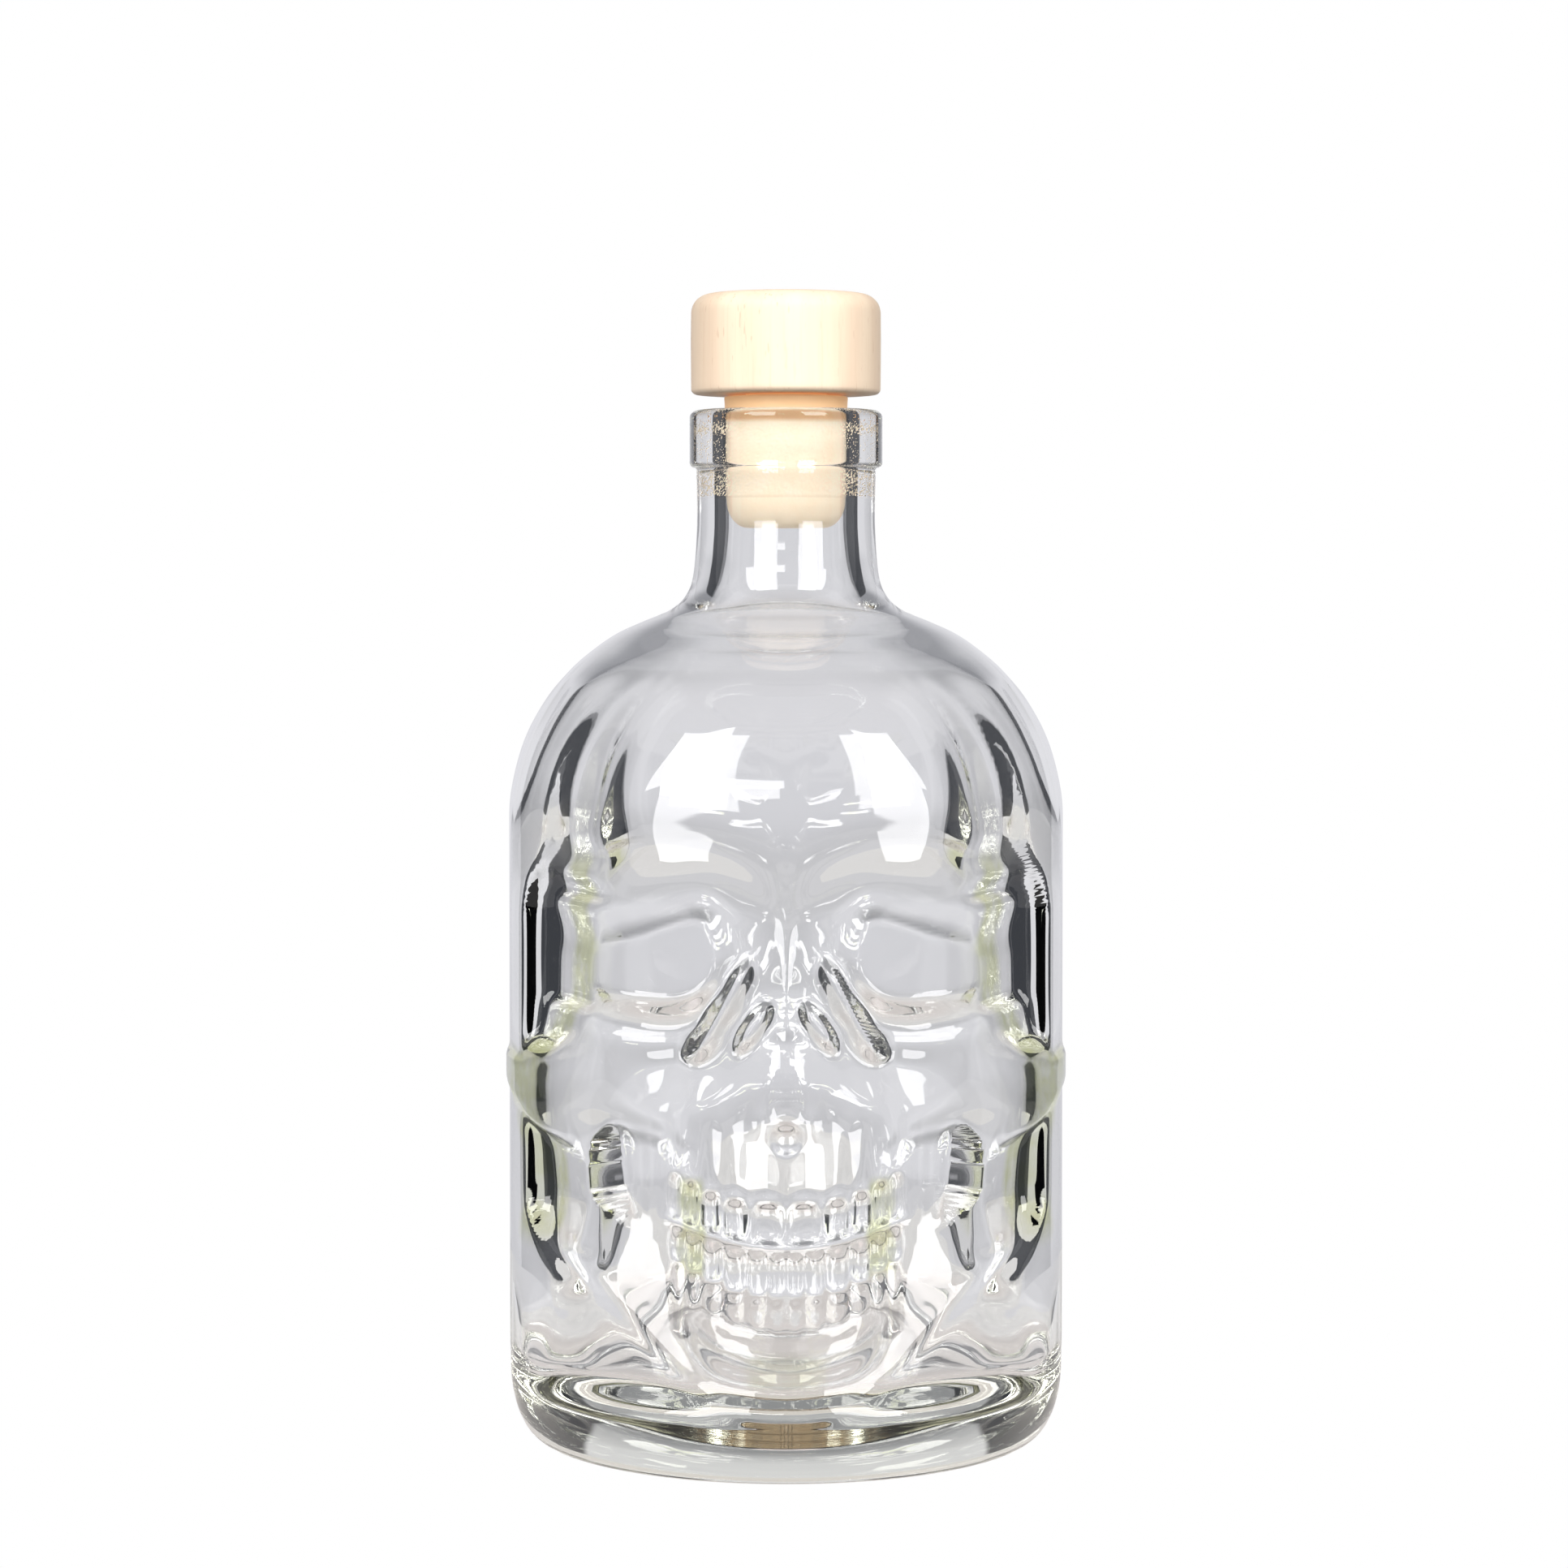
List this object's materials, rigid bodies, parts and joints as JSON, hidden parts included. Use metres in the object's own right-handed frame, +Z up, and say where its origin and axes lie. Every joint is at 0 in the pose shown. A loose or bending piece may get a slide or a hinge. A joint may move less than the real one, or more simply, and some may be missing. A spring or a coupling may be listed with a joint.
{
  "type": "skull bottle",
  "caption": "Clear round glass bottle with a skull moulded into its front, closed by a push-in stopper with a turned wooden head.",
  "frame": {"origin": "centre of the bottle's axis on the surface that the bottle stands on", "axes": "+Z up along the bottle's axis, -Y out of the skull's face, +X to the right of someone facing the skull"},
  "size_m": [0.0872, 0.086, 0.1772],
  "materials": {
    "glass": "clear, fire-polished, faintly green where thick",
    "beech": "fine-sanded, unvarnished, short vertical flecks",
    "elastomer": "moulded thermoplastic elastomer, matte",
    "glue": "set hot-melt glue"
  },
  "bodies": {
    "bottle": {"glass_bottle": "glass"},
    "stopper": {"stopper_head": "beech", "stopper_plug": "elastomer", "stopper_glue": "glue"}
  },
  "joints": [
    {"name": "stopper_pull", "type": "slide", "parent": "bottle", "child": "stopper", "axis": [0, 0, 1], "range_m": [0, 0.03]}
  ]
}
